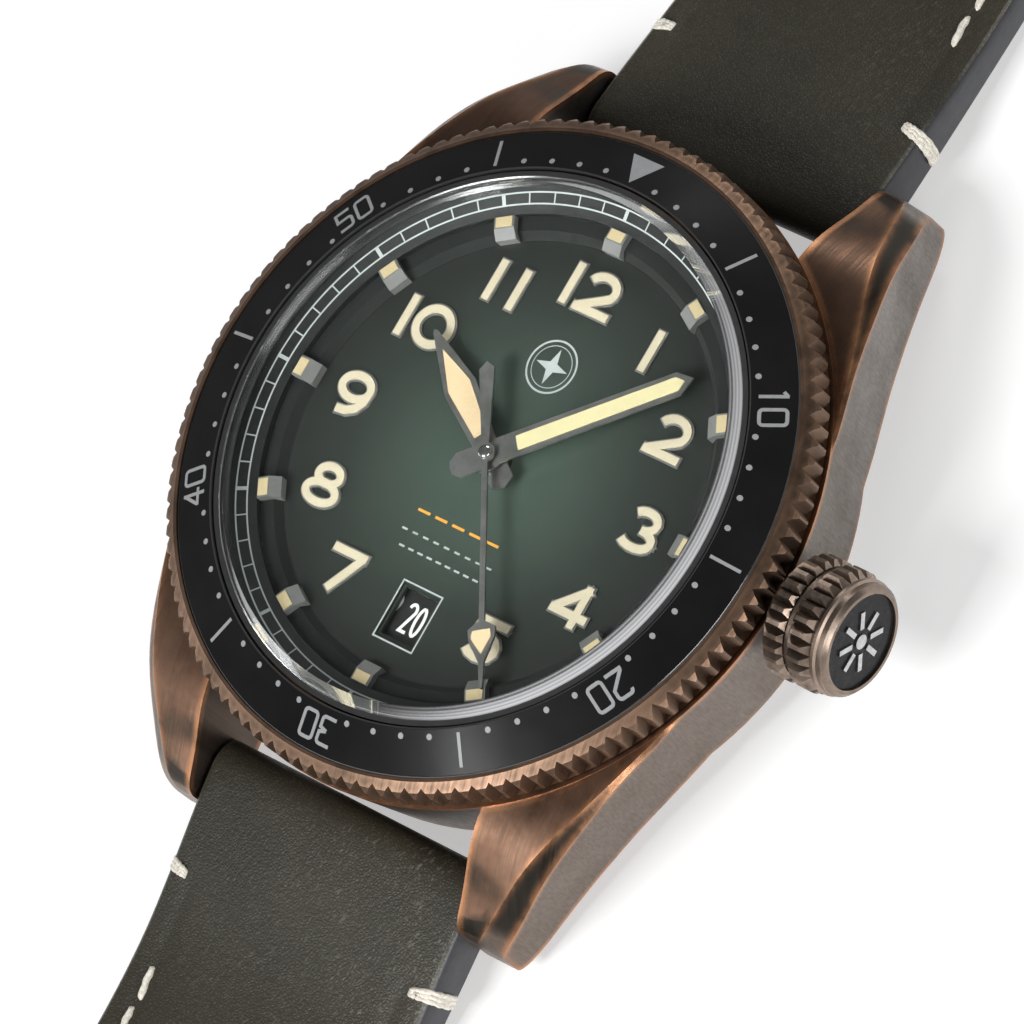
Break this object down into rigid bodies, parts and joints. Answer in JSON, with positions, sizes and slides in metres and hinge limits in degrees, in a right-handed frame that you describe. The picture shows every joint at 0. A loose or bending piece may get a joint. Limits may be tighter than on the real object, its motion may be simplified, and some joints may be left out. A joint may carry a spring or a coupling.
{
  "type": "wrist watch",
  "caption": "Round wrist watch with a turning timing bezel, domed crystal, crown, automatic movement, and a two-piece leather strap with a pin buckle.",
  "frame": {"origin": "centre of the case back's outer face, which the watch rests on", "axes": "+Z out of the dial, +Y towards 12 o'clock, +X along the crown's axis"},
  "size_m": [0.047, 0.2471, 0.0135],
  "materials": {
    "case_bronze": "brushed, brown patina",
    "steel": "satin",
    "crystal_glass": "polished",
    "gasket_rubber": "matte",
    "flange_black": "satin",
    "insert_black": "polished ceramic",
    "marker_grey": "matte",
    "dial_green": "sunburst, darker at the rim",
    "hand_grey": "satin",
    "lume_cream": "matte",
    "date_black": "matte",
    "crown_black": "lacquer",
    "movement_nickel": "brushed",
    "movement_brass": "satin",
    "spring_steel": "blued",
    "strap_leather": "fine grain"
  },
  "bodies": {
    "case": {"balance_cock": "movement_nickel", "barrel_bridge": "movement_nickel", "bezel_click_spring": "steel", "case_back": "steel", "case_back_gasket": "gasket_rubber", "case_middle": "case_bronze", "crown_tube": "steel", "crystal": "crystal_glass", "crystal_gasket": "gasket_rubber", "dial_plate": "dial_green", "flange_ring": "flange_black", "hairspring": "spring_steel", "hour_block_lume": "lume_cream", "hour_blocks": "hand_grey", "main_plate": "movement_nickel", "mainspring": "spring_steel", "movement_ring": "movement_nickel", "movement_screws": "steel", "numeral_frames": "hand_grey", "numeral_lume": "lume_cream", "rotor_post": "steel", "spring_bar_12": "steel", "spring_bar_6": "steel", "train_bridge": "movement_nickel"},
    "bezel": {"bezel_ring": "case_bronze", "bezel_insert": "insert_black", "bezel_markers": "marker_grey"},
    "date": {"date_disc": "date_black"},
    "hour": {"hour_hand": "hand_grey", "hour_hand_lume": "lume_cream", "hour_wheel": "movement_brass"},
    "minute": {"minute_hand": "hand_grey", "minute_hand_lume": "lume_cream", "cannon_pinion": "movement_nickel"},
    "minute_wheel": {"minute_wheel": "movement_brass"},
    "seconds": {"seconds_hand": "hand_grey", "seconds_hand_lume": "lume_cream", "fourth_wheel": "movement_brass"},
    "third": {"third_wheel": "movement_brass"},
    "centre": {"centre_wheel": "movement_brass"},
    "barrel": {"barrel_drum": "movement_brass"},
    "escape": {"escape_wheel": "movement_brass"},
    "fork": {"pallet_fork": "movement_nickel"},
    "balance": {"balance_wheel": "movement_brass"},
    "ratchet": {"ratchet_wheel": "movement_nickel", "barrel_arbor": "movement_nickel"},
    "crown_gear": {"crown_wheel": "movement_nickel"},
    "winding": {"winding_pinion": "steel"},
    "crown": {"crown": "case_bronze", "crown_inlay": "crown_black", "winding_stem": "steel"},
    "rotor": {"rotor": "movement_nickel"},
    "strap_12": {"strap_12": "strap_leather", "strap_keeper_fixed": "strap_leather", "buckle_spring_bar": "steel"},
    "strap_6": {"strap_6": "strap_leather"},
    "keeper": {"strap_keeper_free": "strap_leather"},
    "buckle": {"buckle_frame": "case_bronze"},
    "tongue": {"buckle_tongue": "case_bronze"}
  },
  "joints": [
    {"name": "bezel_turn", "type": "hinge", "parent": "case", "child": "bezel", "pos_m": [0, 0, 0.0107], "axis": [0, 0, 1], "continuous": true},
    {"name": "date_turn", "type": "hinge", "parent": "case", "child": "date", "pos_m": [0, 0, 0.00837], "axis": [0, 0, 1], "continuous": true},
    {"name": "seconds_turn", "type": "hinge", "parent": "case", "child": "seconds", "pos_m": [0, 0, 0.008], "axis": [0, 0, -1], "continuous": true},
    {"name": "minute_turn", "type": "hinge", "parent": "case", "child": "minute", "pos_m": [0, 0, 0.008], "axis": [0, 0, -1], "continuous": true},
    {"name": "hour_turn", "type": "hinge", "parent": "case", "child": "hour", "pos_m": [0, 0, 0.008], "axis": [0, 0, -1], "continuous": true},
    {"name": "minute_wheel_turn", "type": "hinge", "parent": "case", "child": "minute_wheel", "pos_m": [0, 0.0024, 0.0082], "axis": [0, 0, -1], "continuous": true},
    {"name": "third_turn", "type": "hinge", "parent": "case", "child": "third", "pos_m": [-0.00443, -0.00078, 0.0053], "axis": [0, 0, -1], "continuous": true},
    {"name": "centre_turn", "type": "hinge", "parent": "case", "child": "centre", "pos_m": [0, 0, 0.0055], "axis": [0, 0, -1], "continuous": true},
    {"name": "barrel_turn", "type": "hinge", "parent": "case", "child": "barrel", "pos_m": [0.00247, 0.0053, 0.0064], "axis": [0, 0, -1], "continuous": true},
    {"name": "escape_turn", "type": "hinge", "parent": "case", "child": "escape", "pos_m": [-0.00038, -0.00438, 0.0063], "axis": [0, 0, -1], "continuous": true},
    {"name": "fork_rock", "type": "hinge", "parent": "case", "child": "fork", "pos_m": [0.00189, -0.00564, 0.0062], "axis": [0, 0, 1], "range_deg": [-6, 6]},
    {"name": "balance_swing", "type": "hinge", "parent": "case", "child": "balance", "pos_m": [0.00456, -0.00713, 0.0056], "axis": [0, 0, 1], "range_deg": [-270, 270], "stiffness_Nm_per_rad": 0.00000076},
    {"name": "winding_turn", "type": "hinge", "parent": "case", "child": "winding", "pos_m": [0.0092, 0, 0.0076], "axis": [1, 0, 0], "continuous": true},
    {"name": "crown_gear_turn", "type": "hinge", "parent": "case", "child": "crown_gear", "pos_m": [0.0074, 0, 0.0066], "axis": [0, 0, 1], "continuous": true},
    {"name": "ratchet_turn", "type": "hinge", "parent": "case", "child": "ratchet", "pos_m": [0.00247, 0.0053, 0.0043], "axis": [0, 0, 1], "continuous": true},
    {"name": "crown_pull", "type": "slide", "parent": "winding", "child": "crown", "axis": [1, 0, 0], "range_m": [0, 0.0015]},
    {"name": "rotor_turn", "type": "hinge", "parent": "case", "child": "rotor", "pos_m": [0, 0, 0.0034], "axis": [0, 0, 1], "continuous": true},
    {"name": "strap_12_fold", "type": "hinge", "parent": "case", "child": "strap_12", "pos_m": [0, 0.0222, 0.00375], "axis": [1, 0, 0], "range_deg": [-75, 60]},
    {"name": "strap_6_fold", "type": "hinge", "parent": "case", "child": "strap_6", "pos_m": [0, -0.0222, 0.00375], "axis": [-1, 0, 0], "range_deg": [-75, 60]},
    {"name": "keeper_slide", "type": "slide", "parent": "strap_12", "child": "keeper", "axis": [0, 1, 0], "range_m": [-0.002, 0.006]},
    {"name": "buckle_fold", "type": "hinge", "parent": "strap_12", "child": "buckle", "pos_m": [0, 0.0972, 0.00242], "axis": [1, 0, 0], "range_deg": [-80, 45]},
    {"name": "tongue_lift", "type": "hinge", "parent": "buckle", "child": "tongue", "pos_m": [0, 0.0972, 0.00242], "axis": [1, 0, 0], "range_deg": [0, 85]}
  ],
  "couplings": [
    {"joint": "minute_turn", "follows": "seconds_turn", "ratio": 0.016667},
    {"joint": "hour_turn", "follows": "seconds_turn", "ratio": 0.0013889},
    {"joint": "minute_wheel_turn", "follows": "seconds_turn", "ratio": -0.0055556},
    {"joint": "third_turn", "follows": "seconds_turn", "ratio": -0.13333},
    {"joint": "centre_turn", "follows": "seconds_turn", "ratio": 0.016667},
    {"joint": "barrel_turn", "follows": "seconds_turn", "ratio": -0.0025641},
    {"joint": "escape_turn", "follows": "seconds_turn", "ratio": -12},
    {"joint": "crown_gear_turn", "follows": "winding_turn", "ratio": 0.35714},
    {"joint": "ratchet_turn", "follows": "winding_turn", "ratio": -0.2005}
  ]
}
